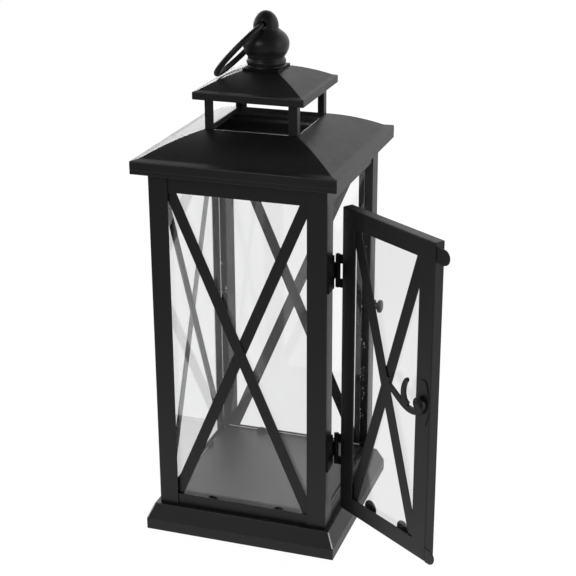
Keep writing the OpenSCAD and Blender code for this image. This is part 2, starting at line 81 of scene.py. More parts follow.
def paint(name, text, colour):
    """Colour in the settings."""
    return FloatVectorProperty(name=name, description=text, default=colour, min=0, max=1, subtype="COLOR")


def bearing(name, text, degrees):
    """Angle in the settings, written in degrees."""
    return FloatProperty(name=name, description=text, default=math.radians(degrees), subtype="ANGLE")


def watts(name, text, power):
    """Power of a lamp in the settings."""
    return FloatProperty(name=name, description=text, default=power, min=0, unit="POWER", precision=3)


class SteelSettings(bpy.types.PropertyGroup):
    """Edges and finish of the coated sheet steel."""
    sheet: length("Sheet", "Thickness of the sheet steel", 1, 0.8, 1.2)
    sheet_edge: length("Sheet edge", "Rounding of the sheet's cut edges", 0.25, 0, 0.45)
    fold: length("Fold", "Outer radius of the folds in posts and plinth", 0.75, 0.3, 1)
    door_fold: length("Door fold", "Outer radius of the door frame's folds", 1.3, 0.3, 2)
    corner: length("Corner", "Radius of the mitred corners of roofs and plinth", 0.45, 0.1, 2)
    skirt: length("Skirt", "Height of the plinth's upright skirt", 9, 6, 14)
    deck: length("Deck", "Width of the plinth's flat deck", 147, 142, 149)
    coat: paint("Coat", "Colour of the black powder coat", (0.0105, 0.0105, 0.011))
    coat_roughness: fraction("Coat roughness", "Roughness of the powder coat", 0.42)
    casting: paint("Casting", "Colour of the black castings and forgings", (0.011, 0.011, 0.0115))
    floor_tone: paint("Floor", "Colour of the floor plate inside", (0.07, 0.07, 0.071))


class RoofSettings(bpy.types.PropertyGroup):
    """Section of the two pressed roofs."""
    band: length("Band", "Height of the main roof's upright band", 10)
    lip: length("Lip", "Width of the main roof's flared lip", 6)
    swell: length("Swell", "Rise of the domed slopes over a straight line", 1.6)
    ledge: length("Ledge", "Width of the ledge under the main roof", 22)
    vent_lip: length("Vent lip", "Depth of the lip turned down round the vent", 4)
    hem: length("Hem", "Height of the hem's groove above the eave", 3.2)
    groove: length("Groove", "Depth of the hem's groove", 0.28)
    cap_band: length("Upper band", "Height of the upper roof's band", 5.8)
    cap_lip: length("Upper lip", "Width of the upper roof's flared lip", 3)
    cap_swell: length("Upper swell", "Rise of the upper slopes over a straight line", 0.9)
    cap_ledge: length("Upper ledge", "Width of the ledge under the upper roof", 14)


class FinialSettings(bpy.types.PropertyGroup):
    """Turned outline of the finial above its plate."""
    collar: length("Collar", "Radius of the foot collar", 15.1)
    collar_height: length("Collar height", "Height of the foot collar", 6)
    ball: length("Ball", "Radius of the ball", 17.6)
    ball_rise: length("Ball rise", "Height of the ball's middle", 16.9)
    knob: length("Knob", "Radius of the egg-shaped knob", 9.6)
    knob_rise: length("Knob rise", "Height of the knob's widest part above the ball's middle", 12.7)
    hole: length("Hole", "Radius of the ring's hole", 3.37)
    stud: length("Stud", "Radius of the stud under the finial", 2)


class DoorSettings(bpy.types.PropertyGroup):
    """Section of the door's folded frame."""
    open: bearing("Open", "Angle that the door stands open", 125)
    stile: length("Stile", "Width of the door's stiles", 15)
    rail: length("Rail", "Height of the door's rails", 14)


class GlassSettings(bpy.types.PropertyGroup):
    """Tone and cleanliness of the panes."""
    tint: paint("Tint", "Colour that the glass passes", (0.918, 0.921, 0.92))
    # greyer door pane: painted shade for the dimmer light seen through the open door
    door: paint("Door", "Colour that the door's greyer pane passes", (0.82, 0.823, 0.822))
    haze: fraction("Haze", "Roughness of the wiped smudges on the panes", 0.05, 0.5)


class BeadSettings(bpy.types.PropertyGroup):
    """Solder in the corners and along the plinth's mitres, and the pale beads at the foot of the panes, which
    are a painted highlight.
    """
    bead: length("Bead", "Radius of the solder beads in the post corners", 0.6)
    spacing: length("Spacing", "Distance between solder beads", 1.7)
    scatter: length("Scatter", "Distance that a bead may stray from its corner", 0.55)
    reach: fraction("Reach", "Share of the posts' height that the beads reach up", 0.68)
    bare: fraction("Bare", "Share of the corners' length left without beads", 0.7)
    seam: length("Seam", "Radius of the solder seam in the plinth's mitres", 0.5)
    # painted highlight: a pale bead stands in for the bright line at the foot of the back and left panes
    foot_glint: length("Seal", "Radius of the pale sealing bead at the foot of the back and left panes", 0.3)
    seed: IntProperty(name="Seed", description="Seed of the beads' scatter", default=7, min=0)


class StageSettings(bpy.types.PropertyGroup):
    """Camera and soft light."""
    lens: FloatProperty(name="Lens", description="Focal length of the camera", default=89.23, min=10, max=300,
                        subtype="DISTANCE_CAMERA")
    yaw: bearing("Yaw", "Angle of the camera round the lantern", 18.6263)
    pitch: bearing("Pitch", "Angle of the camera above the table", 21.305)
    roll: bearing("Roll", "Tilt of the camera about its own axis", -0.2477)
    place: FloatVectorProperty(name="Place", description="Where the camera stands",
                               default=(0.3546, -1.0033, 0.6051), subtype="TRANSLATION", unit="LENGTH")
    key: watts("Key", "Power of the soft key lamp", 5)
    side: watts("Side", "Power of the strip lamp on the right", 1)
    rear: watts("Rear", "Power of the strip lamp behind on the left", 4.5)
    vent: watts("Vent", "Power of the faint lamp that lifts the dark inside the vent", 0.11)


# ---------------------------------------------------------------- node trees

def fill(tree, node, links):
    """Fills a node's inputs: each from the socket that feeds it or with a plain value."""
    for name, value in links.items():
        socket = node.inputs[name]
        if isinstance(value, bpy.types.NodeSocket):
            tree.links.new(value, socket)
        else:
            socket.default_value = value
    return node


def add(tree, kind, links=None, **values):
    """New node in a tree, with its own values and with its inputs filled."""
    node = tree.nodes.new(kind)
    for name, value in values.items():
        setattr(node, name, value)
    return fill(tree, node, links or {})


def maths(tree, operation, a, b=0.0, clamp=False):
    """Result socket of one math node."""
    return add(tree, "ShaderNodeMath", {0: a, 1: b}, operation=operation, use_clamp=clamp).outputs[0]


def ramp(tree, value, span, result=(0.0, 1.0)):
    """Smooth step that takes a value from the ends of span to the ends of result."""
    ends = {"From Min": span[0], "From Max": span[1], "To Min": result[0], "To Max": result[1]}
    return add(tree, "ShaderNodeMapRange", {"Value": value, **ends},
               interpolation_type="SMOOTHSTEP").outputs["Result"]


def noise(tree, vector, scale, detail=3.0, roughness=0.5):
    """Noise value at a scale in cells per metre."""
    return add(tree, "ShaderNodeTexNoise",
               {"Vector": vector, "Scale": scale, "Detail": detail, "Roughness": roughness}).outputs["Fac"]


def coordinate(tree, kind):
    """Texture coordinate of one kind."""
    return add(tree, "ShaderNodeTexCoord").outputs[kind]


def axis_of(tree, kind, axis):
    """One axis of a texture coordinate."""
    return add(tree, "ShaderNodeSeparateXYZ", {"Vector": coordinate(tree, kind)}).outputs[axis]


def mix(tree, fac, a, b):
    """Colour between a and b."""
    fac_in, a_in, b_in, colour_out = 0, 6, 7, 2
    return add(tree, "ShaderNodeMix", {fac_in: fac, a_in: a, b_in: b}, data_type="RGBA").outputs[colour_out]


def rim_mask(tree):
    """1 on the rounded edges that mark_rim flags, 0 elsewhere."""
    return add(tree, "ShaderNodeAttribute", attribute_name="rim", attribute_type="GEOMETRY").outputs["Fac"]


BUILT = {}


def built(maker):
    """Node group that a maker builds the first time that it is asked for."""
    if maker not in BUILT:
        BUILT[maker] = maker()
    return BUILT[maker]


def effect(tree, maker, **values):
    """Outputs of a shared effect that is placed in a material with its own values."""
    return add(tree, "ShaderNodeGroup", values, node_tree=built(maker)).outputs


# ---------------------------------------------------------------- shared effects

def shader_group(name, inputs, outputs):
    """Empty shader group with named values in and out: its tree, its input sockets and its output node."""
    tree = bpy.data.node_groups.new(name, "ShaderNodeTree")
    kind = "NodeSocketFloat"
    for label, default in inputs.items():
        tree.interface.new_socket(label, in_out="INPUT", socket_type=kind).default_value = default
    for label in outputs:
        tree.interface.new_socket(label, in_out="OUTPUT", socket_type=kind)
    return tree, add(tree, "NodeGroupInput").outputs, add(tree, "NodeGroupOutput")


def grain_group():
    """Orange-peel texture of sprayed coat: fine height, slow tone and slow roughness."""
    tree, inp, out = shader_group("Coat grain", {"Peel": 900.0, "Cloud": 22.0}, ("Height", "Tone", "Haze"))
    place = coordinate(tree, "Object")
    haze_scale = maths(tree, "MULTIPLY", inp["Cloud"], 5.0)
    fill(tree, out, {"Height": noise(tree, place, inp["Peel"], detail=2.0, roughness=0.55),
                     "Tone": noise(tree, place, inp["Cloud"]),
                     "Haze": noise(tree, place, haze_scale, detail=4.0, roughness=0.6)})
    return tree


def edge_group():
    """Mask of the rounded edges, where the coat lies thinner and is rubbed smoother."""
    tree, inp, out = shader_group("Edge wear", {"Breakup": 260.0, "Amount": 1.0}, ("Mask",))
    breaks = noise(tree, coordinate(tree, "Object"), inp["Breakup"], detail=4.0, roughness=0.65)
    worn = maths(tree, "MULTIPLY", rim_mask(tree), ramp(tree, breaks, (0.3, 0.62), (0.35, 1.0)))
    fill(tree, out, {"Mask": maths(tree, "MULTIPLY", worn, inp["Amount"])})
    return tree


def dust_group():
    """Mask of fine dust that settles in patches on faces that look up."""
    tree, inp, out = shader_group("Settled dust", {"Scale": 340.0, "Amount": 1.0}, ("Mask",))
    place = coordinate(tree, "Object")
    looks_up = ramp(tree, axis_of(tree, "Normal", "Z"), (0.35, 0.98))
    specks = ramp(tree, noise(tree, place, inp["Scale"], detail=5.0, roughness=0.7), (0.45, 0.75))
    patches = ramp(tree, noise(tree, place, 26.0, detail=2.0), (0.35, 0.7))
    mask = maths(tree, "MULTIPLY", maths(tree, "MULTIPLY", looks_up, specks), patches)
    fill(tree, out, {"Mask": maths(tree, "MULTIPLY", mask, inp["Amount"])})
    return tree


def smudge_group():
    """Wiped streaks and finger marks: a soft mask between 0 and 1."""
    tree, inp, out = shader_group("Smudges", {"Scale": 16.0, "Amount": 1.0}, ("Mask",))
    place = coordinate(tree, "Object")
    drawn_out = add(tree, "ShaderNodeMapping",
                    {"Vector": place, "Rotation": (0.5, 0.35, 0.2), "Scale": (1, 1, 0.28)}).outputs["Vector"]
    wipes = ramp(tree, noise(tree, drawn_out, inp["Scale"], detail=4.0, roughness=0.6), (0.46, 0.72))
    spot_scale = maths(tree, "MULTIPLY", inp["Scale"], 7.0)
    spots = ramp(tree, noise(tree, place, spot_scale, detail=2.0), (0.62, 0.74))
    both = maths(tree, "MAXIMUM", wipes, maths(tree, "MULTIPLY", spots, 0.6))
    fill(tree, out, {"Mask": maths(tree, "MULTIPLY", both, inp["Amount"])})
    return tree


# ---------------------------------------------------------------- finishes

HAZE_SPAN = (0.3, 0.7)         # range of the grain's slow noise that the roughness follows
COAT_CLOUDS = (0.85, 1.18)     # darkest and lightest share of a coat's colour in its slow clouds
COAT_HAZE = (-0.015, 0.02)     # how far a coat's roughness falls and rises
RUBBED_TONE = 3.2              # brightness of the coat on rubbed edges
RUBBED_GLOSS = 0.1             # roughness that rubbed edges lose
DUST_TONE = (0.1, 0.1, 0.098)  # colour of settled dust
DUST_DULLS = 0.04              # roughness that dust adds
UNDERSIDE_LIGHT_TONE = 4.5              # brightness of the coat on faces that look down: painted light standing in for the light inside the roofs
LOOKS_DOWN = (-0.75, -0.35)    # height of the normal from full to no painted underside light
GLASS_RIM = (0.64, 0.7, 0.68)  # greener colour of the panes' ground edges
SMEARED = 0.955                # share of light that a smudge lets through
CAST_SKIN = {"peel": 420.0, "peel_depth": 0.12 * MM}   # coarser grain of castings and forgings


def shade(colour, factor=1.0):
    """Opaque colour with its brightness scaled."""
    return (*(min(1.0, c * factor) for c in colour), 1.0)


def new_material(name):
    """New material with its tree and its Principled shader."""
    material = bpy.data.materials.new(name)
    material.use_nodes = True
    tree = material.node_tree
    return material, tree, tree.nodes["Principled BSDF"]


def bumped(tree, height, depth, strength):
    """Normal that a height in the surface gives."""
    bump = add(tree, "ShaderNodeBump", {"Height": height, "Distance": depth, "Strength": strength})
    return bump.outputs["Normal"]


def shown_as(tree, share, first, second):
    """Puts out a material's two shaders, mixed by a share."""
    both = add(tree, "ShaderNodeMixShader", {0: share, 1: first.outputs[0], 2: second.outputs[0]})
    fill(tree, tree.nodes["Material Output"], {"Surface": both.outputs["Shader"]})


def coated(name, colour, roughness, specular=0.35, peel=900.0, peel_depth=0.02 * MM, wear=0.4, dust=0.2):
    """Black coat on steel: cloudy tone, orange peel, rubbed edges, a little dust, and painted light that
    greys faces that look down.
    """
    material, tree, skin = new_material(name)
    grain = effect(tree, grain_group, Peel=peel)
    rubbed = effect(tree, edge_group, Amount=wear)["Mask"]
    settled = effect(tree, dust_group, Amount=dust)["Mask"]
    underside_light = ramp(tree, axis_of(tree, "Normal", "Z"), LOOKS_DOWN, (1.0, 0.0))
    tone = mix(tree, grain["Tone"], *(shade(colour, share) for share in COAT_CLOUDS))
    tone = mix(tree, rubbed, tone, shade(colour, RUBBED_TONE))
    tone = mix(tree, settled, tone, shade(DUST_TONE))
    # painted light: faces that look down are lightened as if more light reached inside the roofs
    tone = mix(tree, underside_light, tone, shade(colour, UNDERSIDE_LIGHT_TONE))
    rough = ramp(tree, grain["Haze"], HAZE_SPAN, [roughness + change for change in COAT_HAZE])
    rough = maths(tree, "SUBTRACT", rough, maths(tree, "MULTIPLY", rubbed, RUBBED_GLOSS))
    rough = maths(tree, "ADD", rough, maths(tree, "MULTIPLY", settled, DUST_DULLS), clamp=True)
    fill(tree, skin, {"Base Color": tone, "Roughness": rough, "Specular IOR Level": specular,
                      "Normal": bumped(tree, grain["Height"], peel_depth, 0.2)})
    return material


def floor_finish(name, colour):
    """Dark grey coat of the floor plate, dulled by handling and wax, and darker towards the back as painted
    shade from the back rail and posts.
    """
    material, tree, skin = new_material(name)
    grain = effect(tree, grain_group, Peel=700.0, Cloud=14.0)
    marks = effect(tree, smudge_group, Scale=22.0, Amount=0.8)["Mask"]
    settled = effect(tree, dust_group, Scale=520.0, Amount=0.5)["Mask"]
    # painted shade: the floor darkens towards the back, where the back rail and posts shade it
    back_shade = ramp(tree, axis_of(tree, "Object", "Y"), (10 * MM, 68 * MM), (0.0, 0.7))
    tone = mix(tree, grain["Tone"], shade(colour, 0.85), shade(colour, 1.15))
    tone = mix(tree, marks, tone, shade(colour, 1.25))
    tone = mix(tree, settled, tone, shade((0.2, 0.2, 0.19)))
    tone = mix(tree, back_shade, tone, shade(colour, 0.3))
    fill(tree, skin, {"Base Color": tone, "Roughness": ramp(tree, marks, (0.0, 1.0), (0.42, 0.56)),
                      "Normal": bumped(tree, grain["Height"], 0.05 * MM, 0.5)})
    return material


def bare_metal(name, colour, roughness, metallic=1.0):
    """Plain or zinc-plated steel with fine turning marks."""
    material, tree, skin = new_material(name)
    grain = effect(tree, grain_group, Peel=420.0, Cloud=60.0)
    rough = ramp(tree, grain["Haze"], HAZE_SPAN, (roughness - 0.08, roughness + 0.12))
    fill(tree, skin, {"Base Color": mix(tree, grain["Tone"], shade(colour, 0.7), shade(colour, 1.15)),
                      "Roughness": rough, "Metallic": metallic})
    return material


def clear_glass(name, tint, haze):
    """Clear float glass with faint wiped smudges and a greener edge. Lamps and soft light pass through it."""
    material, tree, skin = new_material(name)
    marks = effect(tree, smudge_group, Scale=13.0)["Mask"]
    tone = mix(tree, marks, shade(tint), shade(tint, SMEARED))
    fill(tree, skin, {"Base Color": mix(tree, rim_mask(tree), tone, shade(GLASS_RIM)),
                      "Roughness": ramp(tree, marks, (0.0, 1.0), (0.0, haze)),
                      "Transmission Weight": 1.0, "IOR": 1.5})
    path = add(tree, "ShaderNodeLightPath").outputs
    clear = add(tree, "ShaderNodeBsdfTransparent", {"Color": shade(tint)})
    passing = maths(tree, "MAXIMUM", path["Is Shadow Ray"], path["Is Diffuse Ray"])
    shown_as(tree, passing, skin, clear)
    return material


def finish(look):
    """Material of a slot or of a look within a slot, made the first time that it is asked for."""
    name = "finish_" + look
    if name in bpy.data.materials:
        return bpy.data.materials[name]
    steel, panes = bpy.context.scene.lantern_steel, bpy.context.scene.lantern_glass
    maker, values = {
        "black_sheet": (coated, {"colour": steel.coat, "roughness": steel.coat_roughness}),
        "black_castings": (coated, {"colour": steel.casting, "roughness": 0.36, "specular": 0.28,
                                    "wear": 0.12, "dust": 0.1, **CAST_SKIN}),
        "keeper": (coated, {"colour": (0.055,) * 3, "roughness": 0.45, "specular": 0.5, **CAST_SKIN}),
        # darker, duller finial plate: painted shade under the finial's collar
        "finial_plate": (coated, {"colour": (0.006,) * 3, "roughness": 0.5, "specular": 0.12, "wear": 0.1,
                                  "dust": 0.0}),
        # near-black hinge leaves: painted shade where the hinges sit in shade between door and post
        "hinge_leaves": (coated, {"colour": (0.005,) * 3, "roughness": 0.6, "specular": 0.15, "wear": 0.2,
                                  "dust": 0.0}),
        "clip_steel": (coated, {"colour": (0.032,) * 3, "roughness": 0.45, "specular": 0.4, "peel": 1200.0,
                                "wear": 0.5, "dust": 0.1}),
        "floor_steel": (floor_finish, {"colour": steel.floor_tone}),
        "hinge_pin": (bare_metal, {"colour": (0.28,) * 3, "roughness": 0.4}),
        "zinc_fastener": (bare_metal, {"colour": (0.92, 0.92, 0.91), "roughness": 0.34, "metallic": 0.5}),
        "glass": (clear_glass, {"tint": panes.tint, "haze": panes.haze}),
        # the door pane's greyer tint is painted shade
        "door_glass": (clear_glass, {"tint": panes.door, "haze": panes.haze}),
    }[look]
    return maker(name, **values)


# ---------------------------------------------------------------- mesh work

LOOSE_GAP = 0.002 * MM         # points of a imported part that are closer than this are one
SHELL_GAP = 0.001 * MM         # the same for a new shell
FLAT = math.radians(0.5)       # faces that turn by less are one flat face
BROAD = 2.5 * MM               # least reach of a face that counts as a broad side of a fold
STRIP = 0.8 * MM               # widest strip that makes up a rounded edge
STRIP_BEND = math.radians(3)   # least bend between such strips
SHARP = math.radians(50)       # edges of turned forms that bend by more stay sharp
ARC_STEP = math.radians(24)    # longest step round a rounded corner of a section


def merged_mesh(node):
    """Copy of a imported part's mesh with its loose triangles joined and its flat faces whole."""
    mesh = bpy.data.meshes.new(node)
    shell = bmesh.new()
    shell.from_mesh(frame["nodes"][node].data)
    bmesh.ops.remove_doubles(shell, verts=shell.verts, dist=LOOSE_GAP)
    bmesh.ops.dissolve_limit(shell, angle_limit=FLAT, verts=shell.verts, edges=shell.edges)
    shell.to_mesh(mesh)
    shell.free()
    return mesh


def applied(piece):
    """Turns a piece with modifiers into one plain mesh."""
    graph = bpy.context.evaluated_depsgraph_get()
    mesh = bpy.data.meshes.new_from_object(piece.evaluated_get(graph), preserve_all_data_layers=True,
                                           depsgraph=graph)
    old = piece.data
    piece.modifiers.clear()
    piece.data = mesh
    bpy.data.meshes.remove(old)
    mesh.name = piece.name
    return piece


def linked(name, data):
    """New object in the scene."""
    piece = bpy.data.objects.new(name, data)
    bpy.context.scene.collection.objects.link(piece)
    return piece


def flat_normals(piece):
    """Keeps broad faces flat beside their narrow rounded edges."""
    for face in piece.data.polygons:
        face.use_smooth = True
    weigh = piece.modifiers.new("Flat faces", "WEIGHTED_NORMAL")
    weigh.mode, weigh.weight, weigh.keep_sharp = "FACE_AREA", 100, False
    return applied(piece)


def mark_rim(piece, flags=()):
    """Stores which faces are rounded edges, where the coat wears first: none, if no flags are given."""
    rim = piece.data.attributes.new("rim", "FLOAT", "FACE")
    for face, flag in zip(piece.data.polygons, flags or [False] * len(piece.data.polygons)):
        rim.data[face.index].value = float(flag)
        face.material_index = 0
    return piece


def face_reach(face, edge):
    """Distance that a face reaches from one of its edges."""
    start = edge.verts[0].co
    along = (edge.verts[1].co - start).normalized()
    return max((vertex.co - start - along * along.dot(vertex.co - start)).length for vertex in face.verts)


def weigh_edges(mesh, cut, fold, angle):
    """Gives each sharp edge its share of the fold's radius: all of it between broad faces, less if cut."""
    shell = bmesh.new()
    shell.from_mesh(mesh)
    weight = shell.edges.layers.float.new("bevel_weight_edge")
    for edge in shell.edges:
        if len(edge.link_faces) == 2 and edge.calc_face_angle(0) > math.radians(angle):
            reaches = [face_reach(face, edge) for face in edge.link_faces]
            broad = min(reaches) > BROAD and edge.calc_length() > 2 * max(reaches)
            edge[weight] = 1.0 if broad and edge.is_convex else cut / fold
    shell.to_mesh(mesh)
    shell.free()


def round_edges(piece, cut, fold, segments, angle):
    """Rounds cut edges by one radius and folds between broad faces by another; marks new faces as rim."""
    fold = fold or cut
    if not fold:
        return flat_normals(mark_rim(piece))
    mesh, body_index, rim_index = piece.data, 0, 1
    weigh_edges(mesh, cut, fold, angle)
    for face in mesh.polygons:
        face.material_index = body_index
    while len(mesh.materials) <= rim_index:
        mesh.materials.append(None)
    bevel = piece.modifiers.new("Edges", "BEVEL")
    bevel.width, bevel.segments, bevel.limit_method = fold, segments, "WEIGHT"
    bevel.use_clamp_overlap, bevel.material, bevel.miter_outer = True, rim_index, "MITER_ARC"
    applied(piece)
    return flat_normals(mark_rim(piece, [face.material_index == rim_index for face in piece.data.polygons]))


def finished(piece, nodes, slot=None, look=None, replace=True):
    """Gives a piece its finish and its body, and hides the parts that it replaces. A look is a finish within
    the slot.
    """
    slot = slot or SLOT_OF[nodes[0]]
    piece.data.materials.clear()
    piece.data.materials.append(finish(look or slot))
    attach(piece, BODY_OF[nodes[0]])
    if replace:
        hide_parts(*nodes)
    return piece


def dressed(node, cut, fold=0.0, segments=2, angle=30.0, look=None):
    """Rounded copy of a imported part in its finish, standing for that part."""
    piece = linked("dressed_" + node, merged_mesh(node))
    return finished(round_edges(piece, cut, fold, segments, angle), (node,), look=look)


def nodes_of(*families):
    """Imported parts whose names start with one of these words."""
    return [node for node in frame["nodes"] if node.startswith(families)]


def cleaned(piece):
    """Joins doubles and turns every face outwards."""
    shell = bmesh.new()
    shell.from_mesh(piece.data)
    bmesh.ops.remove_doubles(shell, verts=shell.verts, dist=SHELL_GAP)
    bmesh.ops.delete(shell, geom=[edge for edge in shell.edges if not edge.link_faces], context="EDGES")
    bmesh.ops.recalc_face_normals(shell, faces=shell.faces)
    shell.to_mesh(piece.data)
    shell.free()
    return piece


def rounded_loop(corners):
    """Closed loop of points from (point, radius) corners, with each corner rounded by its own arc."""
    points = []
    least_turn, longest_share = 0.02, 0.45
    for index, (corner, radius) in enumerate(corners):
        before, after = corners[index - 1][0], corners[(index + 1) % len(corners)][0]
        back, on = before - corner, after - corner
        turn = math.pi - back.angle(on)
        if radius <= 0 or turn < least_turn:
            points.append(corner)
            continue
        set_off = min(radius * math.tan(turn / 2), longest_share * min(back.length, on.length))
        first, last = corner + back.normalized() * set_off, corner + on.normalized() * set_off
        pull = math.cos(turn / 2)
        steps = max(2, math.ceil(turn / ARC_STEP))
        for t in (step / steps for step in range(steps + 1)):
            shares = ((1 - t) ** 2, 2 * pull * t * (1 - t), t * t)
            points.append((first * shares[0] + corner * shares[1] + last * shares[2]) / sum(shares))
    return points


# ---------------------------------------------------------------- forms that geometry nodes make

def geometry_tree(name, inputs):
    """Empty geometry tree with named sizes and a finish: the tree, its input sockets and its output node."""
    tree = bpy.data.node_groups.new(name, "GeometryNodeTree")
    tree.is_modifier = True
    tree.interface.new_socket("Geometry", in_out="INPUT", socket_type="NodeSocketGeometry")
    for label, default in inputs.items():
        kind = "NodeSocketInt" if isinstance(default, int) else "NodeSocketFloat"
        tree.interface.new_socket(label, in_out="INPUT", socket_type=kind).default_value = default
    tree.interface.new_socket("Finish", in_out="INPUT", socket_type="NodeSocketMaterial")
    tree.interface.new_socket("Geometry", in_out="OUTPUT", socket_type="NodeSocketGeometry")
    return tree, add(tree, "NodeGroupInput").outputs, add(tree, "NodeGroupOutput")


def closing(tree, inp, out, geometry):
    """Last nodes of each geometry tree: plain smooth geometry in its finish."""
    real = add(tree, "GeometryNodeRealizeInstances", {"Geometry": geometry}).outputs["Geometry"]
    smooth = add(tree, "GeometryNodeSetShadeSmooth", {"Geometry": real}).outputs["Geometry"]
    last = add(tree, "GeometryNodeSetMaterial", {"Geometry": smooth, "Material": inp["Finish"]})
    fill(tree, out, {"Geometry": last.outputs["Geometry"]})
    return tree


def section_tree():
    """Carries a closed section round a rectangle; its points are (half width, half depth, height)."""
    tree, inp, out = geometry_tree("Mitred section", {"Corner radius": 0.45 * MM, "Corner steps": 4})
    section, steps = inp["Geometry"], inp["Corner steps"]

    def calc(operation, a, b=0.0):
        return maths(tree, operation, a, b)

    count = add(tree, "GeometryNodeAttributeDomainSize", {"Geometry": section}).outputs["Point Count"]
    rows = calc("ADD", count, 1.0)
    columns = calc("ADD", calc("MULTIPLY", steps, 4.0), 1.0)
    grid = add(tree, "GeometryNodeMeshGrid", {"Vertices X": columns, "Vertices Y": rows})
    index = add(tree, "GeometryNodeInputIndex").outputs[0]
    row = calc("MODULO", calc("MODULO", index, rows), count)
    column = calc("FLOOR", calc("DIVIDE", index, rows))
    corner = calc("FLOOR", calc("DIVIDE", column, steps))
    share = calc("DIVIDE", calc("MODULO", column, steps), calc("SUBTRACT", steps, 1.0))
    angle = calc("MULTIPLY", calc("ADD", corner, share), math.pi / 2)
    middle = calc("MULTIPLY", calc("ADD", corner, 0.5), math.pi / 2)
    position = add(tree, "GeometryNodeInputPosition").outputs[0]
    sampled = add(tree, "GeometryNodeSampleIndex", {"Geometry": section, "Value": position, "Index": row},
                  data_type="FLOAT_VECTOR")
    point = add(tree, "ShaderNodeSeparateXYZ", {"Vector": sampled.outputs["Value"]}).outputs
    radius = calc("MINIMUM", inp["Corner radius"], calc("MINIMUM", point["X"], point["Y"]))

    def placed(half, wave):
        """Reach of the swept point along one axis: half the width, less the corner's radius, plus its arc."""
        side = calc("SIGN", calc(wave, middle))
        straight = calc("MULTIPLY", side, calc("SUBTRACT", half, radius))
        return calc("ADD", straight, calc("MULTIPLY", radius, calc(wave, angle)))

    place = add(tree, "ShaderNodeCombineXYZ",
                {"X": placed(point["X"], "COSINE"), "Y": placed(point["Y"], "SINE"), "Z": point["Z"]})
    swept = add(tree, "GeometryNodeSetPosition",
                {"Geometry": grid.outputs["Mesh"], "Position": place.outputs["Vector"]})
    joined = add(tree, "GeometryNodeMergeByDistance",
                 {"Geometry": swept.outputs["Geometry"], "Distance": SHELL_GAP})
    return closing(tree, inp, out, joined.outputs["Geometry"])


def bead_tree():
    """Strings small beads of solder along edges, uneven in place and size."""
    tree, inp, out = geometry_tree("Solder beads", {
        "Bead radius": 0.5 * MM, "Spacing": 2.0 * MM, "Scatter": 0.5 * MM, "Smallest": 0.15,
        "Cluster scale": 70.0, "Bare": 0.6, "Seed": 7})
    curve = add(tree, "GeometryNodeMeshToCurve", {"Mesh": inp["Geometry"]}).outputs["Curve"]
    points = add(tree, "GeometryNodeResampleCurve", {"Curve": curve, "Length": inp["Spacing"]}, mode="LENGTH")
    stray = add(tree, "FunctionNodeRandomValue", {0: (-1, -1, -1), 1: (1, 1, 1), "Seed": inp["Seed"]},
                data_type="FLOAT_VECTOR").outputs[0]
    offset = add(tree, "ShaderNodeVectorMath", {0: stray, "Scale": inp["Scatter"]}, operation="SCALE")
    moved = add(tree, "GeometryNodeSetPosition",
                {"Geometry": points.outputs["Curve"], "Offset": offset.outputs["Vector"]})
    bead = add(tree, "GeometryNodeMeshIcoSphere", {"Radius": inp["Bead radius"], "Subdivisions": 2})
    size = add(tree, "FunctionNodeRandomValue", {2: inp["Smallest"], 3: 1.0, "Seed": inp["Seed"]},
               data_type="FLOAT").outputs[1]
    spread = noise(tree, add(tree, "GeometryNodeInputPosition").outputs[0], inp["Cluster scale"], detail=1.0)
    kept = maths(tree, "GREATER_THAN", spread, ramp(tree, inp["Bare"], (0.0, 1.0), (0.3, 0.7)))
    strung = add(tree, "GeometryNodeInstanceOnPoints",
                 {"Points": moved.outputs["Geometry"], "Selection": kept, "Instance": bead.outputs["Mesh"],
                  "Scale": size})
    return closing(tree, inp, out, strung.outputs["Instances"])


def seam_tree():
    """Lays a thin round seam along edges."""
    tree, inp, out = geometry_tree("Solder seam", {"Seam radius": 0.4 * MM, "Seam sides": 8})
    curve = add(tree, "GeometryNodeMeshToCurve", {"Mesh": inp["Geometry"]}).outputs["Curve"]
    ring = add(tree, "GeometryNodeCurvePrimitiveCircle",
               {"Resolution": inp["Seam sides"], "Radius": inp["Seam radius"]}).outputs["Curve"]
    tube = add(tree, "GeometryNodeCurveToMesh", {"Curve": curve, "Profile Curve": ring, "Fill Caps": True})
    return closing(tree, inp, out, tube.outputs["Mesh"])


def grown(name, points, edges, maker, slot, **values):
    """Plain mesh that a geometry tree makes from points and edges."""
    mesh = bpy.data.meshes.new(name)
    mesh.from_pydata([tuple(point) for point in points], edges, [])
    piece = linked(name, mesh)
    grow = piece.modifiers.new("Shape", "NODES")
    grow.node_group = built(maker)
    values["Finish"] = finish(slot)
    for item in grow.node_group.interface.items_tree:
        if item.in_out == "INPUT" and item.name in values:
            grow[item.identifier] = values[item.name]
    return cleaned(applied(piece))


def carried_round(name, corners, radius, slot, place=None):
    """Sheet form with one section all round: corners are ((half width, half depth, height), radius)."""
    loop = rounded_loop([(Vector(point), bend) for point, bend in corners])
    piece = grown(name, loop, [], section_tree, slot, **{"Corner radius": radius})
    if place is not None:
        piece.data.transform(place)
    flat_normals(piece)
    shell = bmesh.new()
    shell.from_mesh(piece.data)
    bent = []
    for face in shell.faces:
        longest = max(face.edges, key=lambda edge: edge.calc_length())
        narrow = face.calc_area() / longest.calc_length() < STRIP
        bent.append(narrow and longest.calc_face_angle(0) > STRIP_BEND)
    shell.free()
    return mark_rim(piece, bent)


def square(half, height, bend=0.0):
    """One corner of a square form's section."""
    return (half, half, height), bend


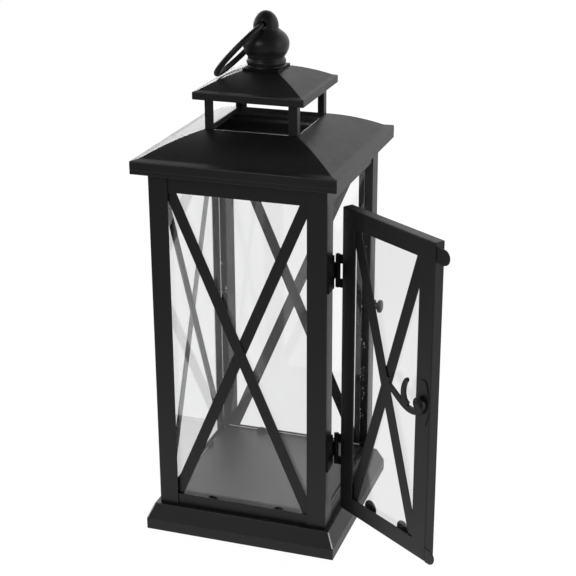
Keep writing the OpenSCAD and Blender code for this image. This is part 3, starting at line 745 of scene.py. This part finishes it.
def soldered(name, lines, maker, rider, **values):
    """Pale metal laid along lines of two points each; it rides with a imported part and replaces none."""
    points = [point for line in lines for point in line]
    edges = [(start, start + 1) for start in range(0, len(points), 2)]
    piece = grown(name, points, edges, maker, "zinc_fastener", **values)
    return finished(mark_rim(piece), (rider,), "zinc_fastener", replace=False)


# ---------------------------------------------------------------- turned forms

def offsets(radius, height, steps):
    """Points of a turned outline: (outwards, upwards) steps in millimetres from one radius and height."""
    return [(radius + out * MM, height + up * MM) for out, up in steps]


def arc(start, stop, step):
    """Angles along an arc, from whole degrees."""
    return [math.radians(degrees) for degrees in range(start, stop, step)]


def lathe(name, profile, place, sides=48):
    """Turned form from (radius, height) points, closed at both ends; its axis is Z until it is placed."""
    shell = bmesh.new()
    rings = []
    for radius, height in profile:
        if radius < SHELL_GAP:
            rings.append([shell.verts.new((0, 0, height))])
            continue
        rings.append([shell.verts.new((radius * math.cos(turn), radius * math.sin(turn), height))
                      for turn in (2 * math.pi * side / sides for side in range(sides))])
    for low, high in zip(rings, rings[1:]):
        for side in range(sides):
            after = (side + 1) % sides
            corners = ((low, side), (low, after), (high, after), (high, side))
            loop = [ring[turn % len(ring)] for ring, turn in corners]
            shell.faces.new(list(dict.fromkeys(loop)))
    for ring in (rings[0], rings[-1]):
        if len(ring) > 1:
            shell.faces.new(ring)
    bmesh.ops.recalc_face_normals(shell, faces=shell.faces)
    mesh = bpy.data.meshes.new(name)
    shell.to_mesh(mesh)
    shell.free()
    mesh.transform(place)
    for face in mesh.polygons:
        face.use_smooth = True
    mesh.set_sharp_from_angle(angle=SHARP)
    return mark_rim(linked(name, mesh))


# ---------------------------------------------------------------- operators

class LANTERN_OT_plinth(bpy.types.Operator):
    """Folds the plinth and the floor plate and dresses them"""
    bl_idname = "lantern.plinth"
    bl_label = "Plinth and floor"

    def execute(self, context):
        steel = context.scene.lantern_steel
        sheet = steel.sheet
        half, top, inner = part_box("plinth")[1][0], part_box("plinth")[1][2], steel.deck / 2
        lean = (half - inner) / (top - steel.skirt)
        plinth = carried_round("dressed_plinth", [
            square(half, 0, 0.3 * MM), square(half, steel.skirt, steel.fold), square(inner, top, steel.fold),
            square(0, top), square(0, top - sheet), square(inner + sheet * (lean - 1), top - sheet),
            square(half - sheet, steel.skirt, 0.3 * MM), square(half - sheet, 0, 0.3 * MM),
        ], steel.corner, "black_sheet")
        finished(plinth, ("plinth",))
        low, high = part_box("floor_plate")
        half, foot, top, rise, inset = high[0], low[2], high[2], FLOOR_RISE, 3 * MM
        plate = carried_round("dressed_floor_plate", [
            square(half, foot, 0.2 * MM), square(half, top - rise, 0.35 * MM),
            square(half - inset, top - rise, 0.3 * MM), square(half - inset, top, 0.5 * MM),
            square(0, top), square(0, top - sheet), square(half - inset - sheet, top - sheet),
            square(half - inset - sheet, top - rise - sheet), square(half - sheet, top - rise - sheet),
            square(half - sheet, foot, 0.2 * MM),
        ], steel.corner, "floor_steel")
        finished(plate, ("floor_plate",))
        return {"FINISHED"}


class LANTERN_OT_body(bpy.types.Operator):
    """Dresses the posts, the rails and the crossed bars of the body"""
    bl_idname = "lantern.body"
    bl_label = "Posts, rails and bars"

    def execute(self, context):
        steel = context.scene.lantern_steel
        for node in nodes_of("post_", "top_rail_", "bottom_rail_", "bar_"):
            fold, segments = (steel.fold, 3) if node.startswith("post_") else (0.0, 2)
            dressed(node, steel.sheet_edge, fold, segments)
        return {"FINISHED"}


def slope_points(half, top_half, band, top, lip, swell):
    """Corners of a roof's side above its band: a flared lip that turns up softly into a domed slope."""
    steps, first, lip_rise, lip_bend = 16, 2, lip / 5, 10 * MM
    foot, start = half - lip, band + lip_rise
    points = [square(foot, start, lip_bend)]
    for step in range(first, steps + 1):
        t = step / steps
        height = start + (top - start) * t + 4 * swell * t * (1 - t)
        points.append(square(foot + (top_half - foot) * t, height))
    return points


class LANTERN_OT_roofs(bpy.types.Operator):
    """Presses the two roofs and dresses the legs between them"""
    bl_idname = "lantern.roofs"
    bl_label = "Roofs"

    def execute(self, context):
        steel, roofs = context.scene.lantern_steel, context.scene.lantern_roofs
        sheet, groove = steel.sheet, roofs.groove
        low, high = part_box("roof")
        half, eave, top, vent = high[0], low[2], high[2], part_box("leg_front_right")[1][0]
        band, hem, ledge, lip = eave + roofs.band, eave + roofs.hem, half - roofs.ledge, top - roofs.vent_lip
        outer = slope_points(half, vent, band, top, roofs.lip, roofs.swell)
        inner = slope_points(half - sheet, vent, band - sheet, top - sheet, roofs.lip, roofs.swell)
        main_roof = carried_round("dressed_roof", [
            square(ledge, eave, 0.2 * MM), square(half, eave, 0.35 * MM),
            square(half, hem - groove, 0.1 * MM), square(half - groove, hem, 0.2 * MM),
            square(half, hem + groove, 0.1 * MM), square(half, band, 1 * MM), *outer[:-1],
            square(vent, top, 0.15 * MM), square(vent - sheet, top, 0.15 * MM),
            square(vent - sheet, lip, 0.2 * MM), square(vent, lip, 0.2 * MM),
            *reversed(inner), square(half - sheet, band - sheet), square(half - sheet, eave + sheet),
            square(ledge, eave + sheet, 0.2 * MM),
        ], steel.corner, "black_sheet")
        finished(main_roof, ("roof",))
        low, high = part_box("upper_roof")
        half, eave, top, crown = high[0], low[2], high[2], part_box("finial_plate")[1][0]
        band, ledge = eave + roofs.cap_band, half - roofs.cap_ledge
        bore = context.scene.lantern_finial.stud + 0.15 * MM
        outer = slope_points(half, crown, band, top, roofs.cap_lip, roofs.cap_swell)
        inner = slope_points(half - sheet, crown, band - sheet, top - sheet, roofs.cap_lip, roofs.cap_swell)
        upper_roof = carried_round("dressed_upper_roof", [
            square(ledge, eave, 0.2 * MM), square(half, eave, 0.35 * MM), square(half, band, 0.9 * MM),
            *outer, square(bore, top), square(bore, top - sheet), *reversed(inner),
            square(half - sheet, band - sheet), square(half - sheet, eave + sheet),
            square(ledge, eave + sheet, 0.2 * MM),
        ], steel.corner, "black_sheet")
        finished(upper_roof, ("upper_roof",))
        leg_fold = 0.6 * steel.fold
        for node in nodes_of("leg_"):
            dressed(node, steel.sheet_edge, leg_fold, 3)
        return {"FINISHED"}


class LANTERN_OT_finial(bpy.types.Operator):
    """Turns the finial and dresses its plate and fasteners and the carry ring"""
    bl_idname = "lantern.finial"
    bl_label = "Finial and ring"

    def execute(self, context):
        form = context.scene.lantern_finial
        low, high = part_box("finial")
        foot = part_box("finial_plate")[1][2]
        ball, knob = foot + form.ball_rise, foot + form.ball_rise + form.knob_rise
        tail, crown = low[2], high[2]
        profile = [(0, tail), *offsets(form.stud, tail, [(-0.3, 0), (0, 0.3)]), (form.stud, foot)]
        profile += offsets(form.collar, foot, [(-1.1, 0), (-0.7, 0.4), (-0.9, 1.2), (-1.3, 1.35)])
        for angle in arc(-70, 71, 14):
            profile.append((form.collar - 1.5 * MM + 1.4 * MM * math.cos(angle),
                            foot + form.collar_height * (0.62 + 0.4 * math.sin(angle))))
        for angle in arc(-38, 50, 4):
            rise = form.ball_rise - 1.4 * MM if angle < 0 else form.knob_rise
            profile.append((form.ball * math.cos(angle), ball + rise * math.sin(angle)))
        profile += offsets(form.knob - 0.35 * MM, knob, [(1.5, -2.4), (0.7, -1.8), (0.2, -1.1)])
        for angle in arc(0, 91, 6):
            profile.append((form.knob * math.cos(angle), knob + (crown - knob) * math.sin(angle)))
        profile[-1] = (0, crown)
        finial = lathe("dressed_finial", profile, Matrix.Identity(4), 96)
        across = Matrix.Translation(JOINT_AT["ring_swing"]) @ Matrix.Rotation(math.pi / 2, 4, "X")
        reach = 20 * MM
        drill = lathe("drill", [(0, -reach), (form.hole, -reach), (form.hole, reach), (0, reach)], across)
        cut = finial.modifiers.new("Hole", "BOOLEAN")
        cut.operation, cut.object, cut.solver = "DIFFERENCE", drill, "EXACT"
        applied(finial)
        bpy.data.objects.remove(drill)
        finial.data.set_sharp_from_angle(angle=SHARP)
        finished(finial, ("finial",))
        dressed("finial_plate", 0.2 * MM, 0.2 * MM, 3, look="finial_plate")
        dressed("carry_ring", 0.0)
        dressed("finial_washer", 0.1 * MM)
        dressed("finial_nut", 0.2 * MM)
        return {"FINISHED"}


class LANTERN_OT_glazing(bpy.types.Operator):
    """Dresses the panes and the clips that hold them"""
    bl_idname = "lantern.glazing"
    bl_label = "Glass and clips"

    def execute(self, context):
        ground_edge, clip_edge = 0.25 * MM, 0.32 * MM
        for node in nodes_of("glass_", "door_glass", "clips_", "door_clips"):
            if "clips" in node:
                dressed(node, clip_edge, segments=3)
            else:
                dressed(node, ground_edge, look="door_glass" if node == "door_glass" else None)
        return {"FINISHED"}


def door_turn():
    """Turns what is placed on the closed door to where the door stands open."""
    hinge = JOINT_AT["door_hinge"]
    turn = Matrix.Rotation(-bpy.context.scene.lantern_door.open, 4, "Z")
    return Matrix.Translation(hinge) @ turn @ Matrix.Translation(-hinge)


def closed_box(*nodes):
    """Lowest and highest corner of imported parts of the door, turned back to the closed door."""
    back = door_turn().inverted()
    points = [back @ vertex.co for node in nodes for vertex in frame["nodes"][node].data.vertices]
    return [Vector([pick(point[axis] for point in points) for axis in range(3)]) for pick in (min, max)]


class LANTERN_OT_door(bpy.types.Operator):
    """Folds the door's frame in one piece and dresses its crossed bars and lugs"""
    bl_idname = "lantern.door"
    bl_label = "Door"

    def execute(self, context):
        steel, door = context.scene.lantern_steel, context.scene.lantern_door
        members = ("door_hinge_stile", "door_free_stile", "door_top_rail", "door_bottom_rail")
        low, high = closed_box(*members)
        middle, wide, tall = (low + high) / 2, (high[1] - low[1]) / 2, (high[2] - low[2]) / 2
        front, back, sheet = high[0], low[0], steel.sheet
        lay_up = Matrix(((0, 0, 1, 0), (1, 0, 0, middle[1]), (0, 1, 0, middle[2]), (0, 0, 0, 1)))
        folded = carried_round("dressed_door_frame", [
            ((wide - door.stile, tall - door.rail, front), 0.25 * MM), ((wide, tall, front), steel.door_fold),
            ((wide, tall, back), 0.2 * MM), ((wide - sheet, tall - sheet, back), 0.2 * MM),
            ((wide - sheet, tall - sheet, front - sheet), 0.4 * MM),
            ((wide - door.stile, tall - door.rail, front - sheet), 0.25 * MM),
        ], 0.7 * MM, "black_sheet", door_turn() @ lay_up)
        finished(folded, members)
        for node in nodes_of("door_"):
            if node not in (*members, "door_glass", "door_clips"):
                dressed(node, steel.sheet_edge, segments=3 if node == "door_tongue" else 2)
        return {"FINISHED"}


class LANTERN_OT_hinges(bpy.types.Operator):
    """Dresses the butt hinges and their pins"""
    bl_idname = "lantern.hinges"
    bl_label = "Hinges"

    def execute(self, context):
        for node in nodes_of("hinge_"):
            dressed(node, 0.2 * MM, angle=40.0, look=None if "pin" in node else "hinge_leaves")
        return {"FINISHED"}


class LANTERN_OT_latch(bpy.types.Operator):
    """Dresses the latch's oval plate, rivet and forged lever, and the keeper stud"""
    bl_idname = "lantern.latch"
    bl_label = "Latch"

    def execute(self, context):
        dressed("latch_plate", 0.35 * MM, segments=3)
        dressed("latch_lever", 0.95 * MM, segments=4)
        low, high = closed_box("latch_rivet")
        middle, base, top, wide = (low + high) / 2, low[0], high[0], (high[1] - low[1]) / 2
        shank, tail = 2 * MM, 3 * MM
        head = [(-0.2, -1.2), (0, -1), (0, -0.8), (-0.3, -0.6), (-0.6, -0.75), (-0.9, -0.65), (-1.2, -0.3),
                (-2, -0.1), (-3, 0)]
        rivet = [(0, base), *offsets(tail, base, [(-0.4, 0), (0, 0.4), (0, 1)]), (shank, base + 1 * MM),
                 (shank, top - 1.2 * MM), *offsets(wide, top, head), (0, top)]
        upright = Matrix.Rotation(math.pi / 2, 4, "Y")
        stand = Matrix.Translation((0, middle[1], middle[2])) @ upright
        finished(lathe("dressed_latch_rivet", rivet, door_turn() @ stand), ("latch_rivet",))
        low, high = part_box("keeper_stud")
        base, wide, stem, tip, proud = low[0], (high[1] - low[1]) / 2, 3 * MM, high[0], 1.2 * MM
        foot = [(-0.2, 0), (-0.2, 2.8), (-0.6, 3.3)]
        head = [(-0.4, -2.4), (0, -2), (0, -0.4), (-0.3, 0.3), (-1.1, 0.8), (-2.6, 1.1)]
        stud = [(0, base), *offsets(wide, base, foot), (stem, base + 3.3 * MM), (stem, tip - 2.4 * MM),
                *offsets(wide, tip, head), (0, tip + proud)]
        stand = Matrix.Translation((0, (low[1] + high[1]) / 2, (low[2] + high[2]) / 2)) @ upright
        finished(lathe("dressed_keeper_stud", stud, stand), ("keeper_stud",), look="keeper")
        return {"FINISHED"}


class LANTERN_OT_solder(bpy.types.Operator):
    """Lays solder beads in the post corners, seams in the plinth's mitres and pale beads along the panes'
    foot as a painted highlight
    """
    bl_idname = "lantern.solder"
    bl_label = "Solder"

    def execute(self, context):
        beads, steel = context.scene.lantern_bead, context.scene.lantern_steel
        pane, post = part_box("glass_back"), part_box("post_back_right")
        inside, behind = pane[1][0] + beads.bead, pane[0][1]
        start = 12 * MM
        foot, top = post[0][2] + start, post[0][2] + beads.reach * (post[1][2] - post[0][2])
        lines = [[(side * across, along, height) for height in (foot, top)]
                 for side in (-1, 1) for across, along in ((inside, behind), (behind, inside))]
        soldered("solder_beads", lines, bead_tree, "post_back_right", **{
            "Bead radius": beads.bead, "Spacing": beads.spacing, "Scatter": beads.scatter, "Bare": beads.bare,
            "Seed": beads.seed})
        half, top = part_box("plinth")[1][0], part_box("plinth")[1][2]
        sink, slope = 0.45 * beads.seam, (half - steel.deck / 2) / (top - steel.skirt)
        lines, above_skirt, below_deck = [], 0.9 * MM, 0.5 * MM
        for side_x, side_y in ((1, -1), (1, 1), (-1, 1), (-1, -1)):
            ends = [(half - sink - slope * (height - steel.skirt), height)
                    for height in (steel.skirt + above_skirt, top - below_deck)]
            lines.append([(side_x * reach, side_y * reach, height) for reach, height in ends])
        soldered("solder_seams", lines, seam_tree, "plinth", **{"Seam radius": beads.seam})
        # pale beads at the foot of the back and left panes: a painted highlight along the rail's top and the
        # floor's edge
        rail, floor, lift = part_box("bottom_rail_back"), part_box("floor_plate"), 0.4 * beads.foot_glint
        ledge = floor[1][2] - FLOOR_RISE + lift
        lines = [[(side * pane[1][0], pane[0][1] - lift, rail[1][2] + lift) for side in (-1, 1)],
                 [(floor[0][0] + 2 * lift, side * floor[1][1], ledge) for side in (-1, 1)]]
        soldered("pane_seals", lines, seam_tree, "plinth", **{"Seam radius": beads.foot_glint})
        return {"FINISHED"}


# ---------------------------------------------------------------- stage

class LANTERN_OT_stage(bpy.types.Operator):
    """Lays the pale table, the soft lamps, the bright surround and the camera"""
    bl_idname = "lantern.stage"
    bl_label = "Stage"

    def execute(self, context):
        scene, settings = context.scene, context.scene.lantern_stage
        scene.view_settings.view_transform = "Standard"
        surround(scene)
        table()
        lamp("key_lamp", settings.key, (0.6, 0.6), (-0.52, -1.29, 0.95))
        lamp("side_strip", settings.side, (0.25, 0.8), (1.25, -0.1, 0.5))
        lamp("rear_strip", settings.rear, (0.8, 0.35), (-0.675, 1.32, 0.42))
        lamp("vent_fill", settings.vent, (0.04, 0.04), (0, 0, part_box("roof")[1][2] - 6 * MM))
        camera(scene, settings)
        return {"FINISHED"}


def seen_rays(tree):
    """1 for what the camera sees, straight or through glass, and 0 for what only lights or reflects."""
    path = add(tree, "ShaderNodeLightPath").outputs
    return maths(tree, "MAXIMUM", path["Is Camera Ray"], path["Is Transmission Ray"])


def surround(scene):
    """White backdrop for the eye and through glass; what lights the lantern is dim overhead and in front."""
    world = bpy.data.worlds.new("Surround")
    world.use_nodes = True
    scene.world = world
    tree = world.node_tree
    behind = ramp(tree, axis_of(tree, "Generated", "Y"), (-0.55, 0.25), (0.14, 1.0))
    level = ramp(tree, axis_of(tree, "Generated", "Z"), (0.5, 0.85), (1.17, 0.15))
    seen = seen_rays(tree)
    lit = maths(tree, "MULTIPLY", maths(tree, "MULTIPLY", behind, level), maths(tree, "SUBTRACT", 1.0, seen))
    fill(tree, tree.nodes["Background"], {"Strength": maths(tree, "ADD", lit, seen), "Color": (1, 1, 1, 1)})


def table():
    """Pale table top that looks white and keeps a soft shadow; in reflections its front and left dim."""
    mesh = bpy.data.meshes.new("table_top")
    shell = bmesh.new()
    bmesh.ops.create_circle(shell, cap_ends=True, radius=6.0, segments=96)
    for vertex in shell.verts:
        vertex.co.z = -0.02 * MM
    shell.to_mesh(mesh)
    shell.free()
    material, tree, skin = new_material("pale_table")
    fill(tree, skin, {"Base Color": (0.86, 0.86, 0.86, 1), "Roughness": 0.9, "Specular IOR Level": 0.1})
    glow = maths(tree, "MULTIPLY", ramp(tree, axis_of(tree, "Object", "Y"), (-0.5, -0.1), (0.45, 1.0)),
                 ramp(tree, axis_of(tree, "Object", "X"), (-0.5, -0.2), (0.15, 1.0)))
    seen, glossy = seen_rays(tree), add(tree, "ShaderNodeLightPath").outputs["Is Glossy Ray"]
    bright = add(tree, "ShaderNodeEmission",
                 {"Strength": maths(tree, "MAXIMUM", glow, maths(tree, "MULTIPLY", seen, 1.06))})
    share = maths(tree, "MAXIMUM", maths(tree, "MULTIPLY", seen, 0.92), maths(tree, "MULTIPLY", glossy, 0.8))
    shown_as(tree, share, skin, bright)
    mesh.materials.append(material)
    linked("table_top", mesh)


def lamp(name, power, size, place):
    """Soft lamp that looks at the middle of the lantern and isn't seen itself."""
    light = bpy.data.lights.new(name, "AREA")
    light.energy, light.shape, (light.size, light.size_y) = power, "RECTANGLE", size
    body = linked(name, light)
    lantern_middle = Vector((0, 0, 0.22))
    body.location = place
    body.rotation_euler = (lantern_middle - Vector(place)).to_track_quat("-Z", "Y").to_euler()
    body.visible_camera = body.visible_transmission = False


def camera(scene, settings):
    """Camera that stands where it is told and looks down on the lantern's front right."""
    yaw, pitch, roll = settings.yaw, settings.pitch, settings.roll
    back = Vector((math.sin(yaw) * math.cos(pitch), -math.cos(yaw) * math.cos(pitch), math.sin(pitch)))
    right = Vector((math.cos(yaw), math.sin(yaw), 0))
    up = back.cross(right)
    turned = right * math.cos(roll) + up * math.sin(roll)
    upright = up * math.cos(roll) - right * math.sin(roll)
    lens = bpy.data.cameras.new("camera")
    lens.sensor_width, lens.lens = 36, settings.lens
    body = linked("camera", lens)
    axes = Matrix((turned, upright, back)).transposed().to_4x4()
    axes.translation = settings.place
    body.matrix_world = axes
    scene.camera = body


# ---------------------------------------------------------------- add-on

class LANTERN_PT_parts(bpy.types.Panel):
    """Lists the lantern's settings and the steps that dress it"""
    bl_idname = "LANTERN_PT_parts"
    bl_label = "Candle lantern"
    bl_space_type = "VIEW_3D"
    bl_region_type = "UI"
    bl_category = "Lantern"

    def draw(self, context):
        for group_name in SETTINGS:
            settings = getattr(context.scene, group_name)
            box = self.layout.box()
            for name in settings.bl_rna.properties.keys():
                if name not in ("rna_type", "name"):
                    box.prop(settings, name)
        for operator in OPERATORS:
            self.layout.operator(operator.bl_idname)


SETTINGS = {"lantern_steel": SteelSettings, "lantern_roofs": RoofSettings, "lantern_finial": FinialSettings,
            "lantern_door": DoorSettings, "lantern_glass": GlassSettings, "lantern_bead": BeadSettings,
            "lantern_stage": StageSettings}
OPERATORS = (LANTERN_OT_plinth, LANTERN_OT_body, LANTERN_OT_roofs, LANTERN_OT_finial, LANTERN_OT_glazing,
             LANTERN_OT_door, LANTERN_OT_hinges, LANTERN_OT_latch, LANTERN_OT_solder, LANTERN_OT_stage)


def register():
    """Registers the settings, the operators and the panel."""
    for cls in (*SETTINGS.values(), *OPERATORS, LANTERN_PT_parts):
        bpy.utils.register_class(cls)
    for name, cls in SETTINGS.items():
        setattr(bpy.types.Scene, name, PointerProperty(type=cls))


def unregister():
    """Takes away what register added, in the opposite order."""
    for name in SETTINGS:
        delattr(bpy.types.Scene, name)
    for cls in (LANTERN_PT_parts, *reversed(OPERATORS), *reversed(SETTINGS.values())):
        bpy.utils.unregister_class(cls)


def main():
    """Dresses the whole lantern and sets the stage."""
    register()
    for operator in OPERATORS:
        family, step = operator.bl_idname.split(".")
        getattr(getattr(bpy.ops, family), step)()


if __name__ == "__main__":
    main()
